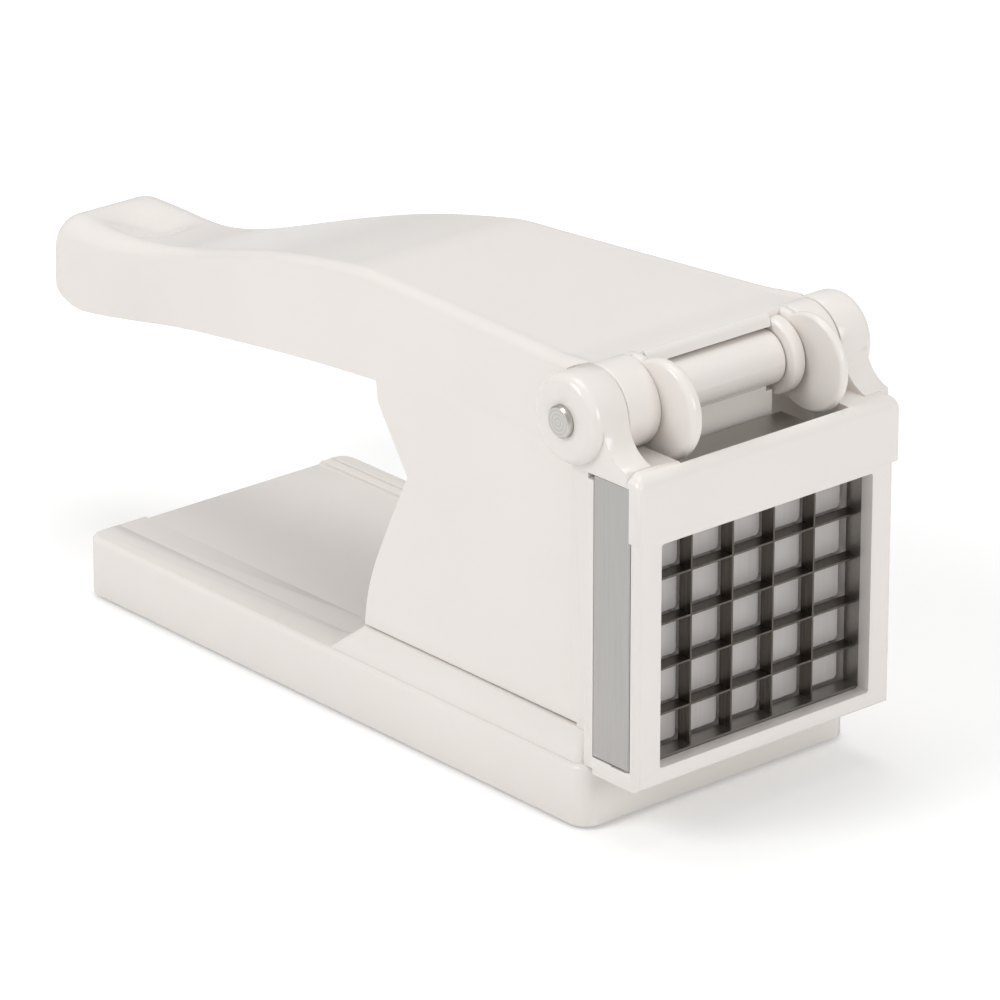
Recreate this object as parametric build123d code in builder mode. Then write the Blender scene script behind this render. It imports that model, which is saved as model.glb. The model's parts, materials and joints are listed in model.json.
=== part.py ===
from build123d import *
import math
import os

os.makedirs("parts", exist_ok=True)

# Millimetres. +X points to the grid end and +Z up. The tray and the cassette differ between the near
# side (-Y) and the far side; all else is symmetric about the XZ plane.
# The origin lies on the rest plane, midway along the overall length.
# Heights named here are above the underside of the base, which stands foot_drop above the rest plane.

# Overall reach, measured from the hinge axis
handle_reach = 238.1
front_reach = 23.5
hinge_height = 103.2

# Feet
foot_drop = 1.0
foot_radius = 6.0
foot_pocket_depth = 1.2
foot_inset = 10.0
foot_clearance = 0.1

# Base
base_length = 194.7
base_side_margin = 2.2
base_setback = 6.4
base_wall = 2.6
base_corner_radius = 5.0
base_edge_radius = 1.5
rail_height = 15.7
near_rail_width = 19.4
far_rail_width = 5.4
ledge_inset = 10.2
ledge_depth = 0.4
ledge_run = 3.0
tray_depth = 1.3
tray_corner_radius = 4.0
tray_front_reach = 92.0
tray_edge_radius = 0.8
plinth_height = 23.3
plinth_ridge_width = 5.2
plinth_slope_width = 2.7
plinth_rear_reach = 91.0
plinth_end_slope = 9.5
plinth_corner_radius = 2.5
chamber_floor_drop = 0.9
chamber_side_gap = 0.1
bottom_plate_thickness = 2.2
bottom_plate_recess = 0.3
bottom_plate_clearance = 0.2
post_radius = 4.0
post_inset = 22.0
post_side = 22.0
post_count = 3

# Screws
screw_radius = 1.25
screw_head_radius = 2.4
screw_head_height = 1.5
screw_bite = 6.0
screw_clearance = 0.15
screw_fit = 0.02
screw_end_gap = 1.0

# Grid frame
frame_depth = 23.6
frame_lower_depth = 18.9
column_width = 6.75
frame_sill_height = 4.7
frame_step_height = 27.0
frame_top_drop = 8.6
frame_top_fillet = 3.5
frame_edge_radius = 1.8
band_edge_radius = 1.2
front_wall = 3.8
band_margin = 1.6
band_proud = 0.8
header_wall = 2.3
header_margin = 1.6
window_side_margin = 1.0
window_top_margin = 0.2
window_bottom_margin = 0.7
window_corner_radius = 0.8
column_step = 0.5
column_liner = 1.0
deck_thickness = 3.2
deck_rear_reach = 4.2
top_opening_gap = 0.6
lug_clearance = 0.2
frame_screw_step = 2.5
frame_screw_inset = 2.2
base_front_gap = 0.3

# Hinge
pin_radius = 4.0
pin_proud = 1.4
pin_end_chamfer = 0.5
boss_radius = 11.2
boss_proud = 2.95
boss_edge_radius = 2.8
arm_step = 0.2
arm_fillet = 10.5
arm_foot_share = 0.25
boss_bore_clearance = 0.05
running_clearance = 0.08
swing_clearance = 0.6
washer_radius = 6.8
washer_thickness = 0.8
washer_offset = 1.2
washer_clearance = 0.05

# Cassette and blades
sheet_thickness = 0.8
blade_thickness = 0.5
blade_depth = 4.0
blade_setback = 1.1
cell_count = 5
cell_width = 13.2
cell_height = 11.55
grid_centre_height = 47.1
cassette_gap = 0.3
cassette_front_gap = 0.2
cassette_side_step = 0.5
cassette_sill_drop = 0.2
cassette_web_drop = 2.5
cassette_flange_gap = 0.9
cassette_flange_half_width = 20.0
cassette_flange_depth = 13.6
side_plate_depth = 12.7
side_plate_lift = 0.3
side_plate_top_gap = 0.4
side_plate_proud = 0.1
side_plate_forward = 1.0
side_plate_edge_radius = 0.3
side_plate_gap = 0.35
side_plate_rear_gap = 0.2
notch_clearance = 0.05

# Detent spring
spring_thickness = 0.4
spring_length = 16.0
spring_width = 4.0
spring_bow = 1.6
spring_gap = 0.1
spring_pocket_clearance = 0.3

# Lever: plan stations run rearwards from the hinge axis, the last ones forwards from the handle end
lever_front_setback = 1.5
wall_foot_gap = 0.4
wall_foot_step = 3.8
crown_margin = 0.4
shoulder_reach = 83.7
shoulder_half_width = 28.5
front_step = 2.6
haunch_reach = 104.3
haunch_half_width = 26.8
haunch_flare = 9.8
arm_reach = 127.7
arm_top_half_width = 23.6
arm_flare = 8.0
neck_reach = 160.7
neck_half_width = 16.4
neck_flare = 5.0
waist_from_end = 46.8
waist_half_width = 11.9
waist_flare = 4.0
grip_from_end = 20.0
grip_half_width = 15.4
grip_flare = 4.0
end_corner_radius = 9.4
lever_wall = 2.5
lever_edge_radius = 1.5

# Lever side profile: heights of the crown line and of the underside
crown_gap = 1.0
crown_bend_reach = 96.0
crown_bend_drop = 3.1
crown_arm_drop = 9.4
crown_neck_drop = 19.0
crown_waist_drop = 27.8
dish_from_end = 25.0
dish_drop = 29.9
rim_from_end = 8.8
rim_drop = 29.4
end_middle_depth = 10.2
end_low_depth = 18.6
end_low_from_end = 4.3
heel_from_end = 16.8
heel_depth = 22.8
waist_depth = 20.8
neck_depth = 23.2
arm_depth = 25.2
belly_haunch_drop = 30.6
wall_top_reach = 84.1
wall_top_drop = 28.3
wall_upper_reach = 82.7
wall_upper_height = 80.3
wall_apex_reach = 68.9
wall_apex_height = 65.3
wall_middle_reach = 76.0
wall_middle_height = 48.3
wall_low_reach = 80.9
wall_low_height = 31.2
wall_foot_reach = 81.1

# Lever hinge
hinge_side_gap = 0.3
barrel_width = 7.7
lobe_width = 4.5
lobe_radius = 12.4
lobe_reach = 9.8
collar_radius = 9.2
collar_width = 2.0
recess_setback = 1.3
lever_boss_radius = 4.2

# Handle cover
cover_thickness = 3.0
cover_recess = 0.6
cover_clearance = 0.2
cover_post_radius = 3.4
cover_seat_depth = 1.7

# Pusher
barrel_radius = 6.9
barrel_side_gap = 0.2
hanger_reach = 2.7
hanger_thickness = 6.0
hanger_half_width = 17.3
hanger_step_height = 95.6
carrier_half_width = 19.3
pusher_side_gap = 1.5
pusher_bottom_gap = 0.9
pusher_top_margin = 0.5
pusher_front_wall = 2.6
pusher_rim = 2.4
pusher_rib_pitch = 22.0
pusher_arm_side = 11.0
pusher_arm_width = 8.0
pusher_arm_rise = 1.3
pusher_arm_thickness = 6.0
pusher_arm_reach = 21.0
arm_screw_reach = 16.0
tooth_gap = 0.5
tooth_length = 4.6
tooth_side_gap = 0.45
tooth_corner_radius = 1.2
tooth_screw_side = 22.0
tooth_screw_drop = 20.0
screw_boss_radius = 3.6

# Places along X
front_x = (handle_reach + front_reach) / 2
hinge_x = front_x - front_reach
handle_end_x = hinge_x - handle_reach
frame_front_x = front_x - band_proud
frame_rear_x = frame_front_x - frame_depth
frame_lower_x = frame_front_x - frame_lower_depth
frame_wall_x = frame_front_x - front_wall
header_x = front_x - header_wall
base_front_x = hinge_x + base_setback
base_rear_x = base_front_x - base_length
base_middle_x = (base_front_x + base_rear_x) / 2
tray_front_x = hinge_x - tray_front_reach
plinth_rear_x = hinge_x - plinth_rear_reach
plinth_front_x = frame_lower_x - base_front_gap
cassette_front_x = frame_wall_x - cassette_front_gap
blade_front_x = cassette_front_x - blade_setback
cassette_rear_x = blade_front_x - blade_depth
slot_rear_x = cassette_rear_x - cassette_gap
flange_rear_x = cassette_front_x - cassette_flange_depth
plate_front_x = cassette_front_x + side_plate_forward
plate_rear_x = plate_front_x - side_plate_depth
lever_front_x = hinge_x - lever_front_setback
hanger_front_x = hinge_x + hanger_reach
hanger_rear_x = hanger_front_x - hanger_thickness
tooth_tip_x = cassette_rear_x - tooth_gap
tooth_root_x = tooth_tip_x - tooth_length
frame_screw_x = frame_rear_x + frame_screw_inset

# Heights above the rest plane
hinge_z = foot_drop + hinge_height
rail_z = foot_drop + rail_height
plinth_z = foot_drop + plinth_height
tray_z = rail_z - tray_depth
hollow_z = tray_z - base_wall
plate_bottom_z = foot_drop + bottom_plate_recess
plate_top_z = plate_bottom_z + bottom_plate_thickness
grid_centre_z = foot_drop + grid_centre_height
top_bar_z = grid_centre_z + cell_count * cell_height / 2
window_top_z = top_bar_z + window_top_margin
window_bottom_z = grid_centre_z - cell_count * cell_height / 2 + window_bottom_margin
band_z = window_top_z + band_margin
header_z = band_z + header_margin
cassette_bottom_z = window_bottom_z - cassette_sill_drop
bar_top_z = cassette_bottom_z + sheet_thickness
floor_z = cassette_bottom_z - chamber_floor_drop
frame_bottom_z = window_bottom_z - frame_sill_height
frame_step_z = foot_drop + frame_step_height
frame_top_z = hinge_z - frame_top_drop
deck_z = frame_top_z - deck_thickness
flange_top_z = deck_z - cassette_flange_gap
flange_bottom_z = flange_top_z - sheet_thickness
web_top_z = flange_top_z - cassette_web_drop
side_plate_bottom_z = cassette_bottom_z + side_plate_lift
side_plate_top_z = deck_z - side_plate_top_gap
wall_foot_z = plinth_z + wall_foot_gap
crown_front_z = hinge_z + barrel_radius + crown_gap + lever_wall
lever_crown_z = crown_front_z + crown_margin
pusher_bottom_z = bar_top_z + pusher_bottom_gap
pusher_top_z = top_bar_z + pusher_top_margin
arm_top_z = hinge_z + pusher_arm_rise
arm_bottom_z = arm_top_z - pusher_arm_thickness

# Sides
window_half_width = cell_count * cell_width / 2 + window_side_margin
column_inner = window_half_width + column_step
frame_half_width = column_inner + column_width
base_half_width = frame_half_width + base_side_margin
chamber_half_width = column_inner - chamber_side_gap
plinth_half_width = chamber_half_width + plinth_ridge_width
plinth_root_half_width = plinth_half_width + plinth_slope_width
frame_screw_side = column_inner + frame_screw_step
arm_inner = column_inner - arm_step
arm_half_width = frame_half_width + band_proud
boss_side = arm_half_width + boss_proud
cassette_half_width = column_inner + cassette_side_step
wall_foot_half_width = column_inner + wall_foot_step
front_half_width = column_inner + front_step
barrel_outer = arm_inner - hinge_side_gap
barrel_inner = barrel_outer - barrel_width
lobe_inner = barrel_inner - lobe_width
collar_inner = lobe_inner - collar_width
top_opening_half_width = barrel_inner + top_opening_gap
pusher_half_width = column_inner - pusher_side_gap
far_wall_side = cassette_half_width - sheet_thickness
side_plate_side = frame_half_width + side_plate_proud
side_plate_inner = side_plate_side - sheet_thickness
pin_side = boss_side + pin_proud
pusher_barrel_side = collar_inner - barrel_side_gap
bite_radius = screw_radius + screw_fit
through_radius = screw_radius + screw_clearance


def write(piece, name):
    """Labels a finished piece and writes it to its own file."""
    piece.part.label = name
    export_step(piece.part, f"parts/{name}.step")


def block(x_span, y_span, z_span, mode=Mode.ADD):
    """Adds or cuts a straight block between two faces on each axis."""
    spans = (x_span, y_span, z_span)
    middle = tuple((low + high) / 2 for low, high in spans)
    with Locations(middle):
        Box(*(high - low for low, high in spans), mode=mode)


def cross_bar(radius, y_span, mode=Mode.ADD, x=hinge_x, z=hinge_z):
    """Adds or cuts a round bar that runs across the machine, along Y."""
    with BuildSketch(Plane.XZ.offset(-y_span[0])) as section:
        with Locations((x, z)):
            Circle(radius)
    extrude(section.sketch, amount=y_span[0] - y_span[1], mode=mode)


def upright(radius, centre, z_span, mode=Mode.ADD):
    """Adds or cuts a round bar that stands upright at a point of the plan."""
    with BuildSketch(Plane.XY.offset(z_span[0])) as section:
        with Locations(centre):
            Circle(radius)
    extrude(section.sketch, amount=z_span[1] - z_span[0], mode=mode)


def height_at(height):
    """Turns a height above the base's underside into a height above the rest plane."""
    return foot_drop + height


def screw(head_plane, grip, bite):
    """Adds a pan-head screw whose head lies under head_plane and whose shank runs along its normal."""
    with BuildSketch(head_plane.offset(-screw_head_height)) as head:
        Circle(screw_head_radius)
    extrude(head.sketch, amount=screw_head_height)
    with BuildSketch(head_plane) as shank:
        Circle(screw_radius)
    extrude(shank.sketch, amount=grip + bite)


# Base

post_run = base_length - 2 * post_inset
post_pitch = post_run / (post_count - 1)
with Locations((base_middle_x, 0)):
    post_places = GridLocations(post_pitch, 2 * post_side, post_count, 2).locations
post_points = [(place.position.X, place.position.Y) for place in post_places]
foot_span = base_length - 2 * foot_inset
foot_points = [
    (base_middle_x + along * foot_span / 2, side * (base_half_width - foot_inset))
    for along in (-1, 1)
    for side in (-1, 1)
]
hollow_length = base_length - 2 * base_wall
hollow_width = 2 * (base_half_width - base_wall)
hollow_corner_radius = base_corner_radius - base_wall
frame_screw_points = [(frame_screw_x, side * frame_screw_side) for side in (-1, 1)]

with BuildPart() as base_shell:
    with BuildSketch(Plane.XY.offset(foot_drop)):
        with Locations((base_middle_x, 0)):
            RectangleRounded(base_length, 2 * base_half_width, base_corner_radius)
    extrude(amount=rail_height)
    fillet(base_shell.faces().sort_by(Axis.Z)[-1].edges(), base_edge_radius)
    # The plinth is ruled from its root on the rail to its narrower ridge.
    with BuildSketch(Plane.XY.offset(rail_z)):
        with Locations(((plinth_rear_x + plinth_front_x) / 2, 0)):
            RectangleRounded(
                plinth_front_x - plinth_rear_x,
                2 * plinth_root_half_width,
                plinth_corner_radius,
            )
    with BuildSketch(Plane.XY.offset(plinth_z)):
        with Locations(((plinth_rear_x + plinth_end_slope + plinth_front_x) / 2, 0)):
            RectangleRounded(
                plinth_front_x - plinth_rear_x - plinth_end_slope,
                2 * plinth_half_width,
                plinth_corner_radius,
            )
    loft(ruled=True)
    block(
        (plinth_rear_x - base_wall, plinth_front_x + base_wall),
        (-chamber_half_width, chamber_half_width),
        (floor_z, plinth_z + base_wall),
        mode=Mode.SUBTRACT,
    )
    # The tray is open at the rear, with a shallow ledge along its near side.
    tray_run = tray_front_x - base_rear_x + tray_corner_radius
    tray_far_side = base_half_width - far_rail_width
    for depth, near_inset, front_inset in (
        (ledge_depth, ledge_inset, 0),
        (tray_depth, near_rail_width, ledge_run),
    ):
        tray_near_side = near_inset - base_half_width
        tray_middle = (tray_near_side + tray_far_side - front_inset) / 2
        with BuildSketch(Plane.XY.offset(rail_z - depth)):
            with Locations((tray_front_x - front_inset - tray_run / 2, tray_middle)):
                RectangleRounded(
                    tray_run,
                    tray_far_side - tray_near_side - front_inset,
                    tray_corner_radius,
                )
        extrude(amount=depth + base_wall, mode=Mode.SUBTRACT)
    tray_floor = base_shell.faces().filter_by(Axis.Z).filter_by_position(Axis.Z, tray_z, tray_z)
    fillet(tray_floor.edges().sort_by(Axis.X)[1:], tray_edge_radius)
    # Below, the moulding is hollow, with a post for each screw of the bottom plate.
    with BuildSketch(Plane.XY.offset(foot_drop)):
        with Locations((base_middle_x, 0)):
            RectangleRounded(hollow_length, hollow_width, hollow_corner_radius)
    extrude(amount=hollow_z - foot_drop, mode=Mode.SUBTRACT)
    for point in post_points:
        upright(post_radius, point, (plate_top_z, hollow_z))
        upright(bite_radius, point, (plate_top_z, plate_top_z + screw_bite), mode=Mode.SUBTRACT)
    for point in frame_screw_points:
        upright(through_radius, point, (hollow_z, plinth_z), mode=Mode.SUBTRACT)
write(base_shell, "base_shell")

with BuildPart() as base_bottom_plate:
    with BuildSketch(Plane.XY.offset(plate_bottom_z)):
        with Locations((base_middle_x, 0)):
            RectangleRounded(
                hollow_length - 2 * bottom_plate_clearance,
                hollow_width - 2 * bottom_plate_clearance,
                hollow_corner_radius - bottom_plate_clearance,
            )
    extrude(amount=bottom_plate_thickness)
    for point in post_points:
        upright(through_radius, point, (plate_bottom_z, plate_top_z), mode=Mode.SUBTRACT)
        upright(
            screw_head_radius + screw_clearance,
            point,
            (plate_bottom_z, plate_bottom_z + screw_head_height),
            mode=Mode.SUBTRACT,
        )
    for point in foot_points:
        upright(
            foot_radius + foot_clearance,
            point,
            (plate_bottom_z, plate_bottom_z + foot_pocket_depth),
            mode=Mode.SUBTRACT,
        )
write(base_bottom_plate, "base_bottom_plate")

with BuildPart() as bottom_plate_screws:
    for point in post_points:
        head_seat = Plane(origin=(*point, plate_bottom_z + screw_head_height))
        screw(head_seat, bottom_plate_thickness - screw_head_height, screw_bite)
write(bottom_plate_screws, "bottom_plate_screws")

with BuildPart() as rubber_feet:
    for point in foot_points:
        upright(foot_radius, point, (0, plate_bottom_z + foot_pocket_depth))
write(rubber_feet, "rubber_feet")

# Grid frame

arm_centre_x = hinge_x + math.sqrt(
    (boss_radius + arm_fillet) ** 2 - (arm_fillet - (hinge_z - frame_top_z)) ** 2
)
arm_centre_z = frame_top_z + arm_fillet
arm_turn = math.atan2(arm_centre_z - hinge_z, arm_centre_x - hinge_x)
arm_touch = (
    hinge_x + boss_radius * math.cos(arm_turn),
    hinge_z + boss_radius * math.sin(arm_turn),
)
arm_end_turn = 1.5 * math.pi - math.asin(arm_foot_share)
arm_end = (
    arm_centre_x + arm_fillet * math.cos(arm_end_turn),
    arm_centre_z + arm_fillet * math.sin(arm_end_turn),
)
arm_foot_x = arm_centre_x - arm_foot_share * arm_fillet
arm_mid_turn = (math.pi + arm_turn + 1.5 * math.pi) / 2
arm_middle = (
    arm_centre_x + arm_fillet * math.cos(arm_mid_turn),
    arm_centre_z + arm_fillet * math.sin(arm_mid_turn),
)
frame_outer = (-frame_half_width, frame_half_width)
chamber_span = (-column_inner, column_inner)
near_skin = (-arm_half_width - front_wall, -column_inner)
swing_radius = boss_radius + swing_clearance

with BuildPart() as grid_frame:
    block((frame_rear_x, frame_front_x), frame_outer, (frame_step_z, frame_top_z))
    block((frame_lower_x, frame_front_x), frame_outer, (rail_z, frame_step_z))
    block((base_front_x + base_front_gap, frame_front_x), frame_outer, (frame_bottom_z, rail_z))
    fillet(
        grid_frame.edges().filter_by(Axis.Z).group_by(Axis.X)[-1]
        + grid_frame.faces().sort_by(Axis.X)[-1].edges().group_by(Axis.Z)[0],
        frame_edge_radius,
    )
    block((plate_rear_x, front_x), (-arm_half_width, arm_half_width), (band_z, frame_top_z))
    fillet(grid_frame.edges().filter_by(Axis.Z).group_by(Axis.X)[-1], band_edge_radius)
    fillet(grid_frame.edges().filter_by(Axis.Y).group_by(Axis.Z)[-1].sort_by(Axis.X)[-1], frame_top_fillet)
    # The chamber behind the grid, the header recess above it and the top opening.
    block((frame_rear_x, slot_rear_x), chamber_span, (floor_z, deck_z), mode=Mode.SUBTRACT)
    block(
        (frame_rear_x, header_x),
        (-top_opening_half_width, top_opening_half_width),
        (header_z, frame_top_z),
        mode=Mode.SUBTRACT,
    )
    block(
        (frame_rear_x, hinge_x + deck_rear_reach),
        (-arm_inner, arm_inner),
        (deck_z, frame_top_z),
        mode=Mode.SUBTRACT,
    )
    # The cassette slides in from the near side, as far as the pocket in the far column.
    block(
        (slot_rear_x, frame_wall_x),
        (near_skin[0], cassette_half_width + cassette_gap),
        (cassette_bottom_z - cassette_gap, web_top_z + cassette_gap),
        mode=Mode.SUBTRACT,
    )
    flange_way = (near_skin[0], cassette_flange_half_width + cassette_gap)
    block(
        (flange_rear_x - side_plate_rear_gap, frame_wall_x),
        flange_way,
        (flange_bottom_z - cassette_gap, flange_top_z + cassette_gap),
        mode=Mode.SUBTRACT,
    )
    block(
        (cassette_front_x - sheet_thickness - cassette_gap, frame_wall_x),
        flange_way,
        (web_top_z, flange_top_z),
        mode=Mode.SUBTRACT,
    )
    block(
        (plate_rear_x - side_plate_rear_gap, plate_front_x + side_plate_gap),
        (near_skin[0], -column_inner - column_liner),
        (side_plate_bottom_z - side_plate_gap, side_plate_top_z + side_plate_gap),
        mode=Mode.SUBTRACT,
    )
    # The window in the front wall.
    window_height = window_top_z - window_bottom_z
    with BuildSketch(Plane.YZ.offset(frame_wall_x - cassette_gap)):
        with Locations((0, window_bottom_z + window_height / 2)):
            RectangleRounded(2 * window_half_width, window_height, window_corner_radius)
    extrude(amount=2 * front_wall, mode=Mode.SUBTRACT)
    # The arms rise from the top of the frame into the hinge bosses.
    for side in (-1, 1):
        arm_faces = sorted((side * arm_inner, side * arm_half_width))
        boss_faces = sorted((side * arm_inner, side * boss_side))
        with BuildSketch(Plane.XZ.offset(-arm_faces[0])):
            with BuildLine():
                Polyline(
                    (arm_foot_x, frame_top_z),
                    (arm_foot_x, deck_z),
                    (frame_rear_x, deck_z),
                    (frame_rear_x, hinge_z),
                    (hinge_x, hinge_z),
                    arm_touch,
                )
                ThreePointArc(arm_touch, arm_middle, arm_end)
                Line(arm_end, (arm_foot_x, frame_top_z))
            make_face()
        extrude(amount=arm_faces[0] - arm_faces[1])
        cross_bar(boss_radius, boss_faces)
        boss_rims = grid_frame.edges().filter_by(GeomType.CIRCLE)
        boss_rims = boss_rims.filter_by(lambda rim: abs(rim.radius - boss_radius) < notch_clearance)
        fillet(boss_rims.sort_by(Axis.Y)[-1 if side > 0 else 0], boss_edge_radius)
    for side in (-1, 1):
        relief = sorted((side * top_opening_half_width, side * arm_inner))
        cross_bar(swing_radius, relief, mode=Mode.SUBTRACT)
    # Bores for the pin, the seat of its washer, and the lugs that the screws from below bite into.
    cross_bar(pin_radius + boss_bore_clearance, (-pin_side, pin_side), mode=Mode.SUBTRACT)
    washer_face = pin_side - washer_offset - washer_thickness
    cross_bar(washer_radius + washer_clearance, (washer_face, pin_side), mode=Mode.SUBTRACT)
    for side in (-1, 1):
        lug_faces = sorted((side * column_inner, side * (plinth_half_width - lug_clearance)))
        block((frame_rear_x, frame_lower_x), lug_faces, (plinth_z, frame_step_z))
    for point in frame_screw_points:
        upright(bite_radius, point, (plinth_z, plinth_z + screw_bite + screw_fit), mode=Mode.SUBTRACT)
    # The pocket of the detent spring, behind the far end of the cassette.
    spring_face = cassette_half_width + cassette_gap
    spring_side = cassette_half_width + spring_gap + spring_bow + spring_thickness
    spring_span_x = (
        (cassette_rear_x + cassette_front_x - spring_width) / 2 - spring_pocket_clearance,
        (cassette_rear_x + cassette_front_x + spring_width) / 2 + spring_pocket_clearance,
    )
    block(
        spring_span_x,
        (spring_face - cassette_gap, spring_side + spring_gap),
        (
            grid_centre_z - spring_length / 2 - spring_pocket_clearance,
            grid_centre_z + spring_length / 2 + spring_pocket_clearance,
        ),
        mode=Mode.SUBTRACT,
    )
write(grid_frame, "grid_frame")

with BuildPart() as grid_frame_screws:
    frame_grip = plinth_z - hollow_z
    for point in frame_screw_points:
        screw(Plane(origin=(*point, hollow_z)), frame_grip, screw_bite)
write(grid_frame_screws, "grid_frame_screws")

with BuildPart() as hinge_pin:
    cross_bar(pin_radius, (-pin_side, pin_side))
    chamfer(hinge_pin.edges().filter_by(GeomType.CIRCLE), pin_end_chamfer)
write(hinge_pin, "hinge_pin")

with BuildPart() as pin_retaining_washer:
    washer_span = (washer_face, washer_face + washer_thickness)
    cross_bar(washer_radius, washer_span)
    cross_bar(pin_radius + washer_clearance, washer_span, mode=Mode.SUBTRACT)
write(pin_retaining_washer, "pin_retaining_washer")

# The detent spring is a bowed leaf whose crest faces the far end of the cassette.
with BuildPart() as cassette_detent_spring:
    crest_side = cassette_half_width + spring_gap
    end_side = crest_side + spring_bow
    spring_x = (cassette_rear_x + cassette_front_x - spring_width) / 2
    with BuildSketch(Plane.YZ.offset(spring_x)):
        with BuildLine():
            low = (end_side, grid_centre_z - spring_length / 2)
            high = (end_side, grid_centre_z + spring_length / 2)
            ThreePointArc(low, (crest_side, grid_centre_z), high)
            Line(high, (end_side + spring_thickness, high[1]))
            ThreePointArc(
                (end_side + spring_thickness, high[1]),
                (crest_side + spring_thickness, grid_centre_z),
                (end_side + spring_thickness, low[1]),
            )
            Line((end_side + spring_thickness, low[1]), low)
        make_face()
    extrude(amount=spring_width)
write(cassette_detent_spring, "cassette_detent_spring")

# Cassette

blade_span = (cassette_rear_x, blade_front_x)
notch_x = (cassette_rear_x + blade_front_x) / 2
column_sides = [(index - (cell_count - 2) / 2) * cell_width for index in range(cell_count - 1)]
row_heights = [
    grid_centre_z + (index - (cell_count - 2) / 2) * cell_height for index in range(cell_count - 1)
]
ring_span = (cassette_rear_x, cassette_front_x)
web_span = (cassette_front_x - sheet_thickness, cassette_front_x)

with BuildPart() as cassette_frame:
    block(ring_span, (-side_plate_inner, cassette_half_width), (cassette_bottom_z, bar_top_z))
    block(ring_span, (far_wall_side, cassette_half_width), (bar_top_z, web_top_z))
    block(ring_span, (-cassette_half_width, -far_wall_side), (bar_top_z, web_top_z))
    block(ring_span, (-far_wall_side, far_wall_side), (top_bar_z, top_bar_z + sheet_thickness))
    block(web_span, (-side_plate_inner, cassette_half_width), (top_bar_z, web_top_z))
    flange_sides = (-cassette_flange_half_width, cassette_flange_half_width)
    block(web_span, flange_sides, (web_top_z, flange_top_z))
    block((flange_rear_x, cassette_front_x), flange_sides, (flange_bottom_z, flange_top_z))
write(cassette_frame, "cassette_frame")

with BuildPart() as cassette_side_plate:
    block(
        (plate_rear_x, plate_front_x),
        (-side_plate_side, -side_plate_inner),
        (side_plate_bottom_z, side_plate_top_z),
    )
    fillet(
        cassette_side_plate.faces().sort_by(Axis.Y)[0].edges(),
        side_plate_edge_radius,
    )
    return_side = -column_inner - column_liner - cassette_gap
    block(
        (plate_rear_x, plate_rear_x + sheet_thickness),
        (-side_plate_inner, return_side),
        (side_plate_bottom_z, side_plate_top_z),
    )
    block(
        (plate_rear_x, cassette_front_x),
        (-side_plate_inner, return_side),
        (side_plate_top_z - sheet_thickness, side_plate_top_z),
    )
write(cassette_side_plate, "cassette_side_plate")

notch_half = blade_thickness / 2 + notch_clearance
for number, side in enumerate(column_sides, 1):
    with BuildPart() as blade_vertical:
        block(
            blade_span,
            (side - blade_thickness / 2, side + blade_thickness / 2),
            (bar_top_z, top_bar_z),
        )
        for height in row_heights:
            block(
                (notch_x, blade_front_x),
                (side - blade_thickness / 2, side + blade_thickness / 2),
                (height - notch_half, height + notch_half),
                mode=Mode.SUBTRACT,
            )
    write(blade_vertical, f"blade_vertical_{number}")

for number, height in enumerate(row_heights, 1):
    with BuildPart() as blade_horizontal:
        block(
            blade_span,
            (-far_wall_side, far_wall_side),
            (height - blade_thickness / 2, height + blade_thickness / 2),
        )
        for side in column_sides:
            block(
                (cassette_rear_x, notch_x + notch_clearance),
                (side - notch_half, side + notch_half),
                (height - blade_thickness / 2, height + blade_thickness / 2),
                mode=Mode.SUBTRACT,
            )
    write(blade_horizontal, f"blade_horizontal_{number}")

# Lever

# Plan stations of one side, from the hinge rearwards: X, half width at the crown, flare at the foot.
plan_stations = [
    (hinge_x - shoulder_reach, shoulder_half_width, wall_foot_half_width - shoulder_half_width),
    (hinge_x - haunch_reach, haunch_half_width, haunch_flare),
    (hinge_x - arm_reach, arm_top_half_width, arm_flare),
    (hinge_x - neck_reach, neck_half_width, neck_flare),
    (handle_end_x + waist_from_end, waist_half_width, waist_flare),
    (handle_end_x + grip_from_end, grip_half_width, grip_flare),
    (handle_end_x + end_corner_radius, grip_half_width, grip_flare),
]


def lever_plan(flared, inset):
    """Draws the lever's plan at the crown or, flared, at the foot of its walls, moved in by inset."""
    front_half = (wall_foot_half_width if flared else front_half_width) - inset
    side = [(x, half + (flare if flared else 0) - inset) for x, half, flare in plan_stations]
    end_x = handle_end_x + inset
    corner = end_corner_radius - inset
    mirrored = [(x, -half) for x, half in side]
    tail = side[-1][1] - corner
    with BuildLine() as outline:
        Line((lever_front_x, -front_half), (lever_front_x, front_half))
        Line((lever_front_x, front_half), side[0])
        Spline(*side)
        slant = corner * (1 - math.sqrt(0.5))
        ThreePointArc(side[-1], (end_x + slant, side[-1][1] - slant), (end_x, tail))
        Line((end_x, tail), (end_x, -tail))
        ThreePointArc((end_x, -tail), (end_x + slant, -side[-1][1] + slant), mirrored[-1])
        Spline(*reversed(mirrored))
        Line(mirrored[0], (lever_front_x, -front_half))
    make_face(outline.edges())


def lever_prism(inset):
    """Rules the lever's sides between the plan at the foot and the plan at the crown."""
    with BuildSketch(Plane.XY.offset(wall_foot_z)) as foot_plan:
        lever_plan(True, inset)
    with BuildSketch(Plane.XY.offset(lever_crown_z)) as crown_plan:
        lever_plan(False, inset)
    loft([foot_plan.sketch, crown_plan.sketch], ruled=True)


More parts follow.
